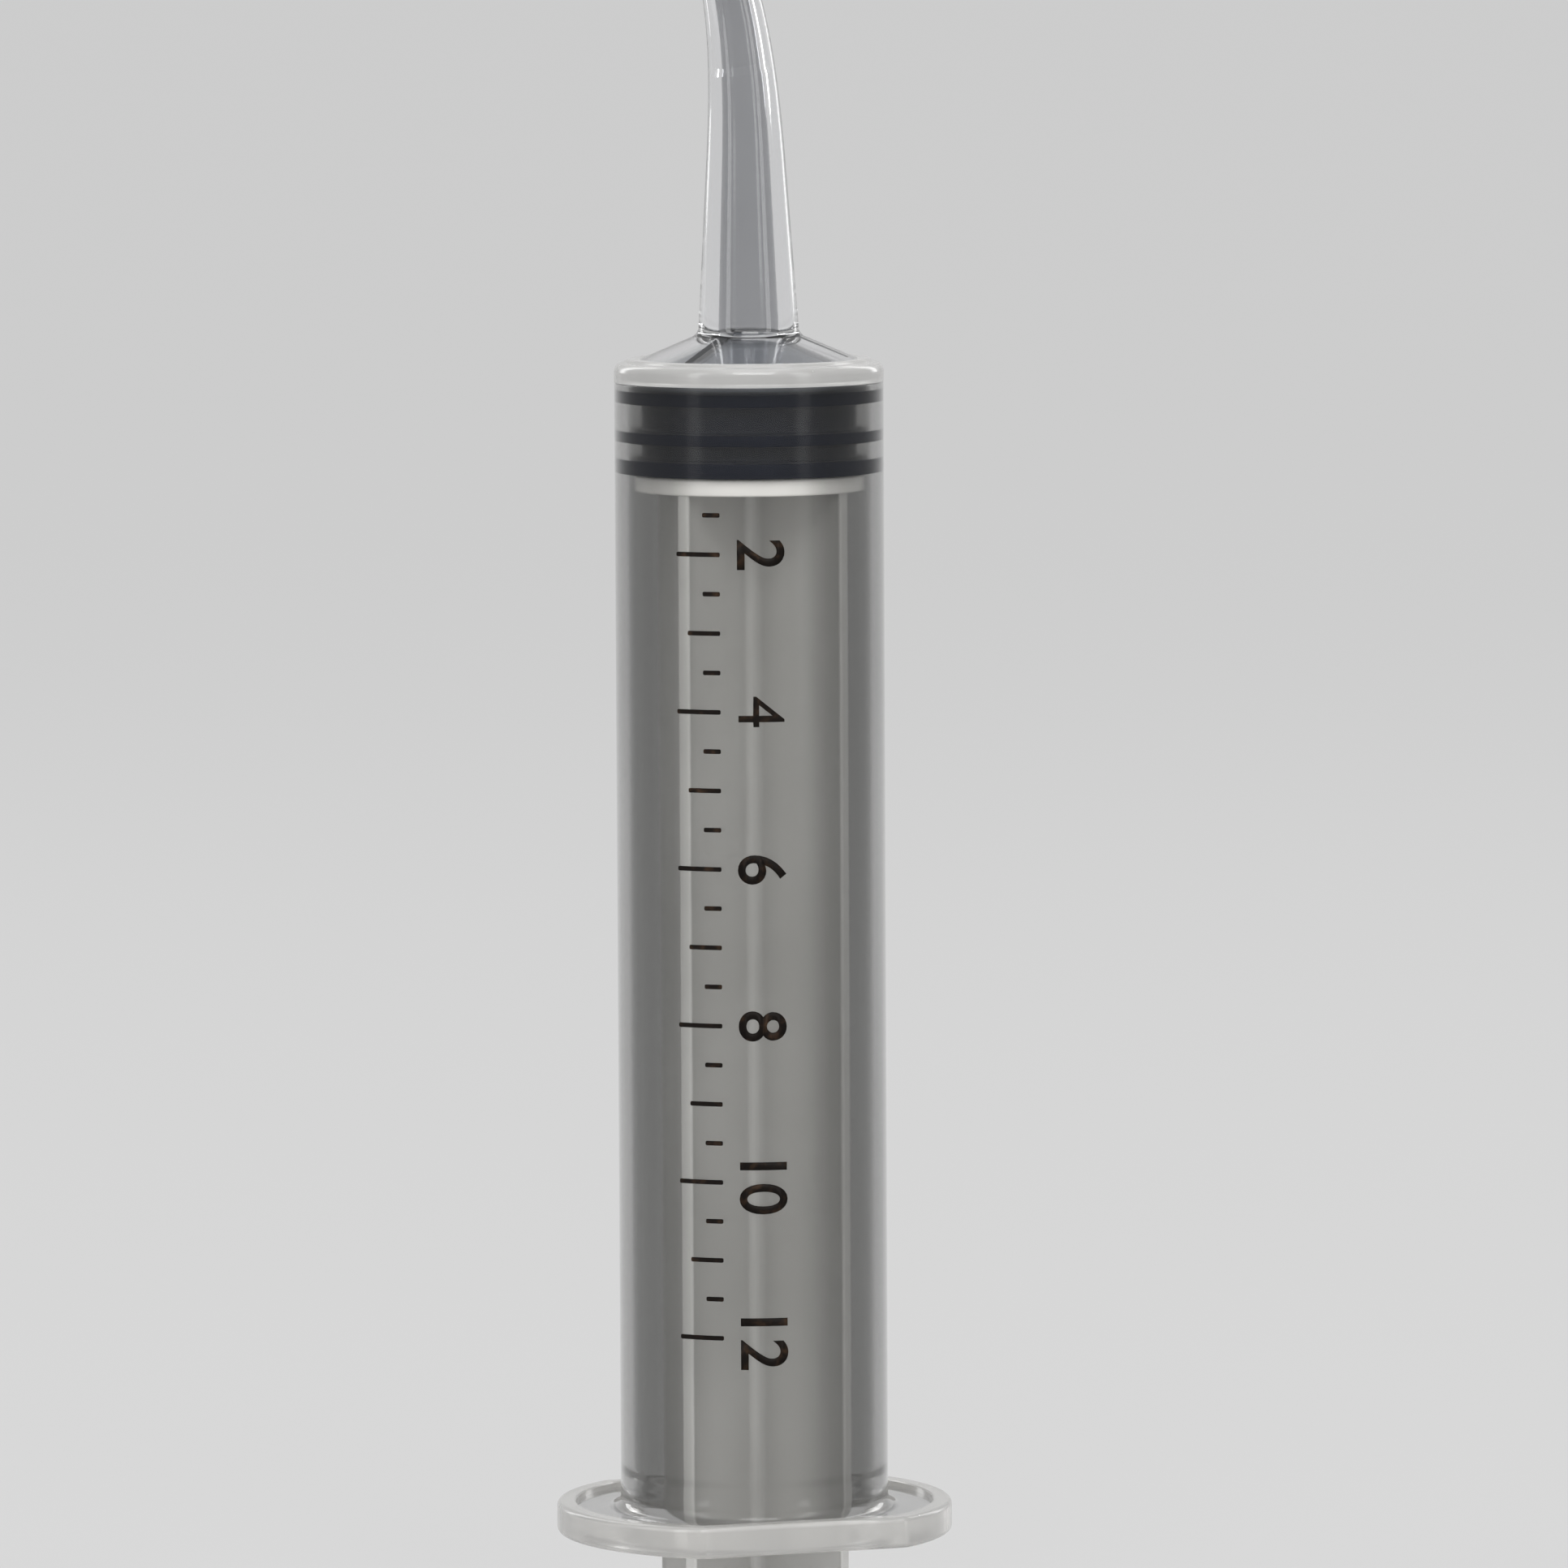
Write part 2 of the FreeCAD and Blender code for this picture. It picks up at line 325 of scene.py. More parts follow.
flangeSizes = {
    "radius": 12.99,
    "flat": 10.95,          # from the axis to each flat
    "turn": -72.0,          # degrees from +X to the front flat
    "bottom": 12.0,
    "top": 14.05,
    "edgeRound": 0.35,
    "cornerRound": 0.3,
    "rimWidth": 1.25,
    "rimRound": 0.08,
    "webSink": 0.38,
    "sides": 232,           # this count puts a corner where each flat meets the round
    "plain": 20 * mm * mm,      # the top and bottom faces are larger than this
}


def cutFlats(distance):
    # trims the piece in edit mode along the flange's two flats
    turn = radians(flangeSizes["turn"])
    for side in (1, -1):
        outward = Vector((cos(turn), sin(turn), 0)) * side
        bpy.ops.mesh.select_all(action="SELECT")
        bpy.ops.mesh.bisect(plane_co=outward * distance * mm, plane_no=outward,
                            use_fill=True, clear_outer=True)
    bpy.ops.mesh.select_all(action="SELECT")
    bpy.ops.mesh.remove_doubles(threshold=0.03 * mm)


def makeFlange():
    f = flangeSizes
    turn = radians(f["turn"])
    deselectAll()
    bpy.ops.mesh.primitive_cylinder_add(vertices=f["sides"], radius=f["radius"] * mm,
                                        depth=(f["top"] - f["bottom"]) * mm,
                                        location=(0, 0, (f["top"] + f["bottom"]) / 2 * mm),
                                        rotation=(0, 0, turn))
    plate = bpy.context.object
    applyPlace(plate)
    startEditing(plate)
    cutFlats(f["flat"])
    onFlat = lambda co: abs(abs(co.x * cos(turn) + co.y * sin(turn)) - f["flat"] * mm) < 2 * near
    onRound = lambda co: abs(hypot(co.x, co.y) - f["radius"] * mm) < 0.02 * mm
    pick("edges", lambda e: abs(e.verts[0].co.z - e.verts[1].co.z) > mm
         and onFlat(e.verts[0].co) and onRound(e.verts[0].co))
    bpy.ops.mesh.bevel(offset=f["cornerRound"] * mm, segments=3, affect="EDGES")
    # the outer edges, above and below
    pick("edges", lambda e: len({abs(face.normal.z) > 0.5 for face in e.link_faces}) == 2)
    bpy.ops.mesh.bevel(offset=f["edgeRound"] * mm, segments=5, affect="EDGES")
    pick("faces", lambda face: abs(face.normal.z) > 0.99 and face.calc_area() > f["plain"])
    bpy.ops.mesh.delete(type="ONLY_FACE")
    # the wall between the rim and the sunk web, as a smaller outline pulled up to the rim
    deselectAll()
    web = f["top"] - f["webSink"]
    inner = f["radius"] - f["rimWidth"]
    bpy.ops.mesh.primitive_circle_add(vertices=f["sides"], radius=inner * mm, fill_type="NGON",
                                      location=(0, 0, web * mm), rotation=(0, 0, turn))
    wall = bpy.context.object
    applyPlace(wall)
    startEditing(wall)
    cutFlats(f["flat"] - f["rimWidth"])
    bpy.ops.mesh.select_all(action="SELECT")
    for rise in (f["webSink"] - f["rimRound"], f["rimRound"]):
        bpy.ops.mesh.extrude_region_move(TRANSFORM_OT_translate={"value": (0, 0, rise * mm)})
    bpy.ops.transform.resize(value=(1.008, 1.008, 1), center_override=(0, 0, f["top"] * mm))
    pick("faces", lambda face: abs(face.normal.z) > 0.99 and face.calc_area() > f["plain"])
    bpy.ops.mesh.delete(type="ONLY_FACE")
    bpy.ops.object.mode_set(mode="OBJECT")
    flange = mergePieces([plate, wall], "flange")
    startEditing(flange)
    pickEdges(atHeight(f["top"]), openOnly=True)
    bpy.ops.mesh.fill()
    bpy.ops.object.mode_set(mode="OBJECT")
    return flange


def makeBarrel():
    n = nozzleSizes
    outside, inside = makeTube()
    step = n["coreLength"]
    nozzleOutside, tip = extrudeNozzle("nozzleOutside", nozzleRadius)
    nozzleInside, tip = extrudeNozzle("nozzleInside", coreRadius, (step - 0.02, step + 0.3))
    flange = makeFlange()
    barrel = mergePieces([outside, inside, nozzleOutside, nozzleInside, flange], "syringeBarrel")
    startEditing(barrel)
    bpy.ops.mesh.select_all(action="SELECT")
    bpy.ops.mesh.remove_doubles(threshold=0.004 * mm)
    # the lip round the outlet
    pickEdges(lambda co: (co - tip).length < 2 * mm, openOnly=True)
    bpy.ops.mesh.bridge_edge_loops()
    end = nozzleHeading(nozzleLength)
    along = Vector((-sin(end), 0, cos(end)))
    pick("edges", lambda e: all(abs((v.co - tip).dot(along)) < 0.03 * mm
                                and (v.co - tip).length < 1.3 * mm for v in e.verts)
         and abs((e.verts[0].co - tip).length - (e.verts[1].co - tip).length) < 0.05 * mm)
    bpy.ops.mesh.bevel(offset=n["lipRound"] * mm, segments=4, affect="EDGES")
    # the web above and the flat underside join the flange to the tube
    for height in (flangeSizes["top"] - flangeSizes["webSink"], flangeSizes["bottom"]):
        pickEdges(atHeight(height), openOnly=True)
        bpy.ops.mesh.fill()
    bpy.ops.object.mode_set(mode="OBJECT")
    closeUp(barrel)
    smoothPiece(barrel)
    return barrel


def nozzleLine():
    # places down the middle of the nozzle, about 1 mm apart, with the radius between wall and bore
    n = nozzleSizes
    count = 34
    step = (nozzleLength - n["stub"]) / count
    point = Vector((0, 0, nozzleZ + n["stub"]))
    line = []
    for i in range(count + 1):
        distance = n["stub"] + step * i
        line.append((point.copy() * mm, (nozzleRadius(distance) + coreRadius(distance)) / 2 * mm))
        heading = nozzleHeading(distance + step / 2)
        point = point + Vector((-sin(heading), 0, cos(heading))) * step
    return line


def paintPlaces(barrel, materials):
    # the flange's rim and the thick corner under the shoulder are milkier than the tube's wall,
    # and the shoulder and the nozzle, polished in the tool, are clearer, with the bore tinted darker as
    # painted shade along the nozzle's core
    f = flangeSizes
    s = barrelSizes
    turn = radians(f["turn"])
    line = nozzleLine()

    def onRim(face):
        centre = face.calc_center_median()
        across = abs(centre.x * cos(turn) + centre.y * sin(turn))
        inside = (hypot(centre.x, centre.y) < (f["radius"] - f["rimWidth"] - 0.05) * mm
                  and across < (f["flat"] - f["rimWidth"] - 0.02) * mm)
        return (f["bottom"] + 0.005) * mm < centre.z < (f["top"] + 0.01) * mm and not inside

    def onCorner(face):
        centre = face.calc_center_median()
        away = hypot(centre.x, centre.y)
        side = (centre.z > (s["roofZ"] - 0.15) * mm and centre.z < (s["ledgeZ"] - 0.08) * mm
                and away > (s["radius"] - 0.5) * mm)
        ledge = (centre.z > (s["roofZ"] + 0.9) * mm and centre.z < (s["ledgeZ"] + 0.4) * mm
                 and away > (s["bead"][0] - 0.1) * mm)
        return side or ledge

    def inBore(face):
        # nearer the nozzle's middle line than the middle of its wall, and turned to that line
        # by less than 64 degrees
        centre = face.calc_center_median()
        if centre.z < (nozzleZ + 0.3) * mm:
            return False
        point, limit = min(line, key=lambda place: (centre - place[0]).length)
        away = centre - point
        return away.length < hypot(limit, 0.5 * mm) and away.angle(face.normal) > radians(180 - 64)

    def onTop(face):
        height = face.calc_center_median().z
        return height > (s["roofZ"] + 0.05) * mm and not onCorner(face) and not inBore(face)

    paintFaces(barrel, materials, (onRim, onCorner, inBore, onTop))


# Graduated scale printed on the barrel's front

scaleSizes = {
    "millilitres": 12,
    "firstHalf": 3,         # the first tick, in half millilitres, clear of the stopper at home
    "zeroZ": 87.1,          # the front seal's edge with the plunger home
    "pitch": 5.1,           # height of one millilitre
    "tickLeft": -4.7,
    "tickRight": -1.9,      # ends of the long ticks, measured across the barrel
    "midTick": 0.75,        # length of the ticks between, as a share of the long one
    "shortTick": 1.125,
    "tickHeight": 0.3,
    "tickRound": 0.09,
    "numeralLeft": -0.75,
    "numeralSize": 4.3,
    "bold": 0.05,           # how far a numeral's outline is moved out
    "boldFour": 0.0,        # a bolder 4 would fill in
    "inkThickness": 0.02,
    "startY": -12.0,        # the flat marks are made here, in front of the barrel
    "cutStep": 0.5,         # width of the strips that the marks are cut into
    "cutReach": 6.0,
    "lift": 0.004,          # of the ink's lower side off the tube
}


def wrapOnBarrel(piece):
    # upright cuts let the flat shape follow the curve, then it is laid on the tube
    p = scaleSizes
    startEditing(piece)
    count = round(p["cutReach"] / p["cutStep"])
    for i in range(-count, count + 1):
        bpy.ops.mesh.select_all(action="SELECT")
        bpy.ops.mesh.bisect(plane_co=(i * p["cutStep"] * mm, 0, 0), plane_no=(1, 0, 0))
    bpy.ops.object.mode_set(mode="OBJECT")
    radius = (barrelSizes["radius"] + p["lift"]) * mm
    deselectAll()
    bpy.ops.mesh.primitive_cylinder_add(vertices=512, radius=radius, depth=0.2)
    guide = bpy.context.object
    makeActive(piece)
    wrap = piece.modifiers.new("wrap", "SHRINKWRAP")
    wrap.target = guide
    wrap.wrap_method = "PROJECT"
    wrap.use_project_y = True
    wrap.use_positive_direction = True
    bpy.ops.object.modifier_apply(modifier=wrap.name)
    ink = piece.modifiers.new("ink", "SOLIDIFY")
    ink.thickness = p["inkThickness"] * mm
    ink.offset = 1
    bpy.ops.object.modifier_apply(modifier=ink.name)
    deselectAll()
    guide.select_set(True)
    bpy.ops.object.delete()


def makeTick(height, length):
    p = scaleSizes
    deselectAll()
    place = Vector((p["tickRight"] - length / 2, p["startY"], height)) * mm
    bpy.ops.mesh.primitive_plane_add(size=1, location=place, rotation=(pi / 2, 0, 0))
    tick = bpy.context.object
    tick.scale = (length * mm, p["tickHeight"] * mm, 1)
    applyPlace(tick)
    startEditing(tick)
    bpy.ops.mesh.select_all(action="SELECT")
    bpy.ops.mesh.bevel(offset=p["tickRound"] * mm, segments=3, affect="VERTICES")
    bpy.ops.object.mode_set(mode="OBJECT")
    return tick


def makeNumeral(text, height):
    # reads down the barrel, as a print along a tube does
    p = scaleSizes
    deselectAll()
    bpy.ops.object.text_add(location=(0, 0, 0))
    numeral = bpy.context.object
    numeral.data.body = text
    numeral.data.size = p["numeralSize"] * mm
    numeral.data.align_x = "CENTER"
    numeral.data.offset = (p["boldFour"] if text == "4" else p["bold"]) * mm
    numeral.data.resolution_u = 6
    bpy.ops.object.convert(target="MESH")
    numeral = bpy.context.object
    numeral.location = Vector((p["numeralLeft"], p["startY"], height)) * mm
    numeral.rotation_euler = Euler((pi / 2, pi / 2, 0))
    applyPlace(numeral)
    return numeral


def makeScale():
    p = scaleSizes
    marks = []
    longTick = p["tickRight"] - p["tickLeft"]
    for i in range(p["firstHalf"], p["millilitres"] * 2 + 1):
        height = p["zeroZ"] - i * p["pitch"] / 2
        if i % 4 == 0:
            length = longTick
        elif i % 2 == 0:
            length = longTick * p["midTick"]
        else:
            length = p["shortTick"]
        marks.append(makeTick(height, length))
        if i % 4 == 0:
            marks.append(makeNumeral(str(i // 2), height))
    scale = mergePieces(marks, "printedScale")
    wrapOnBarrel(scale)
    closeUp(scale)
    return scale


# Rubber stopper

stopperSizes = {
    "steps": 160,
    "radius": 7.915,        # squeezed against the bore, so that no air shows between them
    "grooveRadius": 7.01,
    "seals": ((87.17, 86.32), (84.55, 83.78), (82.72, 81.72)),      # top and bottom of each
    "sealRound": 0.07,
    "noseFlat": (2.2, 89.71),
    "noseEdge": (7.3, 87.55),
    "mouth": (2.98, 83.4),      # radius and height of the undercut that holds the rod's head
    "pocket": (4.48, 84.1),
    "pocketTop": (3.08, 86.15),
    "ribs": 3,
    "ribTurn": -128.0,      # degrees from +X to the first rib on the nose
    "ribWidth": 0.65,
    "ribThickness": 0.8,
    "ribRound": 0.1,
    "ribPress": 0.012,      # how far a rib is pressed into the barrel's roof
    "ribStart": 2.3,
    "ribEnd": 6.3,
}


def makeNoseRib(turn):
    s = stopperSizes
    slope = radians(barrelSizes["slope"])
    middle = (s["ribStart"] + s["ribEnd"]) / 2
    top = roofHeight(middle) + s["ribPress"]
    thickness = s["ribThickness"]
    deselectAll()
    bpy.ops.mesh.primitive_cube_add(size=1, location=(0, 0, 0))
    rib = bpy.context.object
    rib.scale = ((s["ribEnd"] - s["ribStart"]) / cos(slope) * mm, s["ribWidth"] * mm, thickness * mm)
    applyPlace(rib)
    startEditing(rib)
    # a half round outer end and softened top edges
    pick("edges", lambda e: all(v.co.x > 0 for v in e.verts)
         and abs(e.verts[0].co.y - e.verts[1].co.y) < near
         and abs(e.verts[0].co.z - e.verts[1].co.z) > near)
    bpy.ops.mesh.bevel(offset=s["ribWidth"] * 0.49 * mm, segments=8, affect="EDGES")
    pickEdges(lambda co: abs(co.z - thickness / 2 * mm) < near)
    bpy.ops.mesh.bevel(offset=s["ribRound"] * mm, segments=3, affect="EDGES")
    bpy.ops.mesh.select_all(action="SELECT")
    bpy.ops.transform.translate(value=(0, 0, -thickness / 2 * mm))
    # with no window the rotate operator turns the other way
    bpy.ops.transform.rotate(value=-slope, orient_axis="Y", center_override=(0, 0, 0))
    bpy.ops.transform.translate(value=(middle * mm, 0, top * mm))
    bpy.ops.transform.rotate(value=-radians(turn), orient_axis="Z", center_override=(0, 0, 0))
    bpy.ops.object.mode_set(mode="OBJECT")
    return rib


def makeStopper():
    s = stopperSizes
    soft = s["sealRound"]
    corners = [(0, s["noseFlat"][1]), (*s["noseFlat"], 0.4, 5), (*s["noseEdge"], 0.2, 4)]
    for i, (top, bottom) in enumerate(s["seals"]):
        corners.append((s["radius"], top, soft, 3))
        corners.append((s["radius"], bottom, soft, 3))
        if i < 2:
            corners.append((s["grooveRadius"], bottom, 0.3, 5))
            corners.append((s["grooveRadius"], s["seals"][i + 1][0], 0.3, 5))
    bottom = s["seals"][-1][1]
    corners += [
        (s["mouth"][0], bottom, 0.2, 4),
        (*s["mouth"], 0.1, 3),
        (s["pocket"][0], s["mouth"][1], 0.1, 3),
        (*s["pocket"], 0.1, 3),
        (*s["pocketTop"], 0.1, 3),
        (0, s["pocketTop"][1]),
    ]
    stopper = turnOutline("rubberStopper", corners, s["steps"])
    closeUp(stopper)
    for i in range(s["ribs"]):
        rib = makeNoseRib(s["ribTurn"] + 360 / s["ribs"] * i)
        closeUp(rib)
        uniteWith(stopper, rib)
    stopper.name = "rubberStopper"
    smoothPiece(stopper, 40)
    return stopper


# Plunger rod: front disc, snap-in head, cross-shaped stem and thumb rest

rodSizes = {
    "steps": 160,
    "discRadius": 7.45,
    "discZ": (80.57, 81.67),
    "neckRadius": 2.9,
    "headZ": (83.57, 86.07),
    "headRadius": 4.4,
    "headFront": 3.0,
    "headBand": 0.62,       # height of the head's straight side
    "stemReach": 7.3,
    "stemWeb": 0.9,
    "stemRound": 0.9,
    "stemEdge": 0.2,
    "stemTurn": -35.0,
    "thumbRadius": 10.5,
    "thumbThickness": 1.6,
    "thumbEdge": 0.35,
    "thumbRim": 1.5,
    "dish": 0.35,
    "gripRings": (3.0, 4.6, 6.2, 7.8),
    "gripDepth": 0.14,
}


def makeStem():
    r = rodSizes
    half = r["stemWeb"] / 2
    reach = r["stemReach"]
    turn = radians(r["stemTurn"])
    corners = []
    for i in range(4):
        for along, across, soft in ((reach, -half, r["stemEdge"]), (reach, half, r["stemEdge"]),
                                    (half, half, r["stemRound"])):
            angle = turn + i * pi / 2
            x = along * cos(angle) - across * sin(angle)
            y = along * sin(angle) + across * cos(angle)
            corners.append((x, y, soft, 6))
    foot = r["thumbThickness"] / 2
    # the first corner is drawn again at the end, so that the outline closes
    place = lambda c: (c[0], c[1], foot)
    stem = drawOutline("rodStem", [corners[-1][:2]] + corners[:-1] + [corners[-1][:2]], place)
    bpy.ops.mesh.select_all(action="SELECT")
    bpy.ops.mesh.remove_doubles(threshold=0.001 * mm)
    last = Vector(place(corners[-1])) * mm
    pickVerts(lambda co: (co - last).length < near)
    bpy.ops.mesh.bevel(offset=corners[-1][2] * mm, segments=6, affect="VERTICES")
    bpy.ops.mesh.select_all(action="SELECT")
    bpy.ops.mesh.edge_face_add()
    height = sum(r["discZ"]) / 2 - foot
    bpy.ops.mesh.extrude_region_move(TRANSFORM_OT_translate={"value": (0, 0, height * mm)})
    bpy.ops.object.mode_set(mode="OBJECT")
    closeUp(stem)
    return stem


def makeRod():
    r = rodSizes
    low, high = r["discZ"]
    neckTop, headTop = r["headZ"]
    front = turnOutline("rodFront", [
        (0, low),
        (r["discRadius"], low, 0.15, 3),
        (r["discRadius"], high, 0.2, 4),
        (r["neckRadius"], high, 0.25, 4),
        (r["neckRadius"], neckTop, 0.1, 3),
        (r["headRadius"], neckTop, 0.12, 3),
        (r["headRadius"], neckTop + r["headBand"], 0.2, 4),
        (r["headFront"], headTop, 0.35, 5),
        (0, headTop),
    ], r["steps"])
    closeUp(front)
    dishRadius = r["thumbRadius"] - r["thumbRim"]
    grip = []
    crest = r["dish"] - r["gripDepth"]
    for ring in r["gripRings"]:
        grip += [(ring - 0.3, r["dish"]), (ring - 0.12, crest, 0.05, 2),
                 (ring + 0.12, crest, 0.05, 2), (ring + 0.3, r["dish"])]
    rest = turnOutline("thumbRest", [(0, r["dish"])] + grip + [
        (dishRadius, r["dish"], 0.15, 3),
        (dishRadius + r["dish"], 0, 0.12, 3),
        (r["thumbRadius"], 0, r["thumbEdge"], 5),
        (r["thumbRadius"], r["thumbThickness"], r["thumbEdge"], 5),
        (0, r["thumbThickness"]),
    ], r["steps"])
    closeUp(rest)
    rod = makeStem()
    uniteWith(rod, front)
    uniteWith(rod, rest)
    rod.name = "plungerRod"
    smoothPiece(rod)
    return rod


# Materials

def feed(tree, socket, value):
    # an output is linked, anything else is set
    if isinstance(value, bpy.types.NodeSocket):
        tree.links.new(value, socket)
    else:
        socket.default_value = value


def addNode(tree, kind, place, **values):
    # names with a small first letter are the node's own settings, the others its inputs
    node = tree.nodes.new(kind)
    node.location = place
    for key, value in values.items():
        if key[0].islower():
            setattr(node, key, value)
        else:
            feed(tree, node.inputs[key.replace("_", " ")], value)
    return node


def compute(tree, place, operation, *values):
    node = addNode(tree, "ShaderNodeMath", place, operation=operation)
    for socket, value in zip(node.inputs, values):
        feed(tree, socket, value)
    return node.outputs[0]


def remap(tree, place, value, low, high, **values):
    # low becomes 0 and high becomes 1
    return addNode(tree, "ShaderNodeMapRange", place, From_Min=low, From_Max=high, Value=value,
                   **values).outputs[0]


def mixColors(tree, place, factor, first, second):
    return addNode(tree, "ShaderNodeMix", place, data_type="RGBA", Factor=factor, A=first,
                   B=second).outputs["Result"]


def mixShaders(tree, place, factor, first, second):
    node = addNode(tree, "ShaderNodeMixShader", place, Fac=factor)
    tree.links.new(first.outputs[0], node.inputs[1])
    tree.links.new(second.outputs[0], node.inputs[2])
    return node


def addNoise(tree, place, vector, scale, detail):
    return addNode(tree, "ShaderNodeTexNoise", place, Vector=vector, Scale=scale,
                   Detail=detail).outputs["Fac"]


def objectPlace(tree, place):
    return addNode(tree, "ShaderNodeTexCoord", place).outputs["Object"]


def addBump(tree, shader, height, strength, reach):
    bump = addNode(tree, "ShaderNodeBump", (-250, -400), Height=height, Strength=strength,
                   Distance=reach * mm)
    tree.links.new(bump.outputs["Normal"], shader.inputs["Normal"])


def newGroup(name, inputs, outputs):
    group = bpy.data.node_groups.new(name, "ShaderNodeTree")
    for label, kind, value in inputs:
        socket = group.interface.new_socket(name=label, in_out="INPUT", socket_type=kind)
        socket.default_value = value
    for label, kind in outputs:
        group.interface.new_socket(name=label, in_out="OUTPUT", socket_type=kind)
    start = addNode(group, "NodeGroupInput", (-900, 0))
    end = addNode(group, "NodeGroupOutput", (700, 0))
    return group, start.outputs, end.inputs


def makeMouldFlow():
    # faint streaks along the moulding's flow, cloudy patches and the grain of the tool
    group, given, result = newGroup("mouldFlow", [
        ("Color", "NodeSocketColor", (0.8, 0.8, 0.8, 1)),
        ("Cloud Color", "NodeSocketColor", (0.7, 0.7, 0.7, 1)),
        ("Roughness", "NodeSocketFloat", 0.2),
        ("Roughness Spread", "NodeSocketFloat", 0.06),
        ("Patch Scale", "NodeSocketFloat", 160.0),
        ("Grain Scale", "NodeSocketFloat", 2600.0),
    ], [("Color", "NodeSocketColor"), ("Roughness", "NodeSocketFloat"), ("Height", "NodeSocketFloat")])
    coords = objectPlace(group, (-900, -300))
    stretch = addNode(group, "ShaderNodeMapping", (-700, -300), Vector=coords, Scale=(1, 1, 0.06))
    streaks = addNoise(group, (-500, -300), stretch.outputs[0], given["Patch Scale"], 3.0)
    patches = addNoise(group, (-500, 0), coords, 70.0, 4.0)
    grain = addNoise(group, (-500, -600), coords, given["Grain Scale"], 2.0)
    both = compute(group, (-300, -150), "ADD", streaks, patches)
    contrast = remap(group, (-100, -150), both, 0.75, 1.3)
    tint = mixColors(group, (150, 150), contrast, given["Color"], given["Cloud Color"])
    feed(group, result["Color"], tint)
    spread = compute(group, (150, -100), "MULTIPLY_ADD", contrast, given["Roughness Spread"],
                     given["Roughness"])
    feed(group, result["Roughness"], spread)
    feed(group, result["Height"], compute(group, (150, -350), "MULTIPLY_ADD", grain, 0.25, streaks))
    return group


def makeHandling():
    # hairline scratches and specks of dust, as a mask
    group, given, result = newGroup("handlingMarks", [
        ("Scratch Scale", "NodeSocketFloat", 260.0),
        ("Dust Scale", "NodeSocketFloat", 900.0),
        ("Dust Amount", "NodeSocketFloat", 0.12),
    ], [("Mask", "NodeSocketFloat")])
    coords = objectPlace(group, (-900, -300))
    lean = addNode(group, "ShaderNodeMapping", (-700, -100), Vector=coords,
                   Rotation=(0.5, 0.4, 0.5), Scale=(1, 1, 0.2))
    scratches = addNode(group, "ShaderNodeTexVoronoi", (-500, -100), feature="DISTANCE_TO_EDGE",
                        Vector=lean.outputs[0], Scale=given["Scratch Scale"])
    thin = remap(group, (-300, -100), scratches.outputs["Distance"], 0.006, 0.0)
    breaks = addNoise(group, (-500, -400), coords, 120.0, 2.0)
    some = remap(group, (-300, -400), breaks, 0.6, 0.75)
    broken = compute(group, (-100, -200), "MULTIPLY", thin, some)
    dust = addNode(group, "ShaderNodeTexVoronoi", (-500, 200), Vector=coords, Scale=given["Dust Scale"])
    specks = compute(group, (-300, 200), "LESS_THAN", dust.outputs["Distance"], given["Dust Amount"])
    feed(group, result["Mask"], compute(group, (200, 0), "MAXIMUM", broken, specks))
    return group


def newMaterial(name, values):
    material = bpy.data.materials.new(name)
    material.use_nodes = True
    shader = material.node_tree.nodes["Principled BSDF"]
    for key, value in values.items():
        shader.inputs[key].default_value = value
    return material, material.node_tree, shader


def useGroup(tree, group, place, values):
    node = addNode(tree, "ShaderNodeGroup", place, node_tree=group)
    for key, value in values.items():
        node.inputs[key].default_value = value
    return node.outputs


plasticLook = {
    "barrel": {"Transmission Weight": 1.0, "IOR": 1.36, "Coat Roughness": 0.05},
    "barrelFlow": {"Color": (0.95, 0.95, 0.945, 1), "Cloud Color": (0.89, 0.89, 0.88, 1),
                   "Roughness": 0.09, "Roughness Spread": 0.05},
    "sheen": (0.45, 0.85),          # how far turned away the gloss starts and is full
    "lightThrough": (0.9, 0.9, 0.895, 1),       # how much light each face of the wall lets in
    "edgeOnColor": (0.43, 0.43, 0.425, 1),      # painted shade on the wall seen slantwise, partly standing for the longer path through plastic
    "edgeOn": (0.02, 0.2),                      # how far turned away the painted side shade starts and is full
    "index": 1.49,
    # transmission, coat and its roughness, colour and cloud colour, roughness and its spread
    "milkyRim": (0.5, 0.3, 0.08, (0.66, 0.65, 0.63), (0.56, 0.555, 0.54), 0.2, 0.08),
    "milkyCorner": (0.5, 0.3, 0.06, (0.74, 0.735, 0.72), (0.66, 0.655, 0.64), 0.16, 0.06),
    # the bore's dark tint is painted shade along the nozzle's core
    "shadedNozzleBore": (1.0, 0.0, 0.03, (0.44, 0.445, 0.46), (0.38, 0.385, 0.4), 0.03, 0.03),
    "clearNozzle": (1.0, 0.0, 0.03, (0.94, 0.945, 0.955), (0.88, 0.885, 0.895), 0.03, 0.04),
    # thin webs darkened as painted shade and thick parts lightened as painted light, partly also the look
    # of thinner and thicker plastic
    "thinShadedPolypropylene": (0.4, 0.3, 0.1, (0.55, 0.545, 0.53), (0.47, 0.465, 0.45), 0.3, 0.08),
    "thickLitPolypropylene": (0.08, 0.3, 0.1, (0.94, 0.925, 0.9), (0.88, 0.865, 0.84), 0.32, 0.08),
    # the pale stem edges are a painted highlight, with a rubbed roughness
    "rubbedHighlitPolypropylene": (0.12, 0.2, 0.15, (0.66, 0.655, 0.64), (0.56, 0.555, 0.54), 0.4, 0.1),
    "rubbedHighlitFrom": 7.2,      # radius from which the stem's edges, rubbed by the bore, are painted pale as a painted highlight
    "restTop": 1.62,        # the thumb rest lies below this height
    "frontFrom": 79.9,      # and the front disc above this one
}


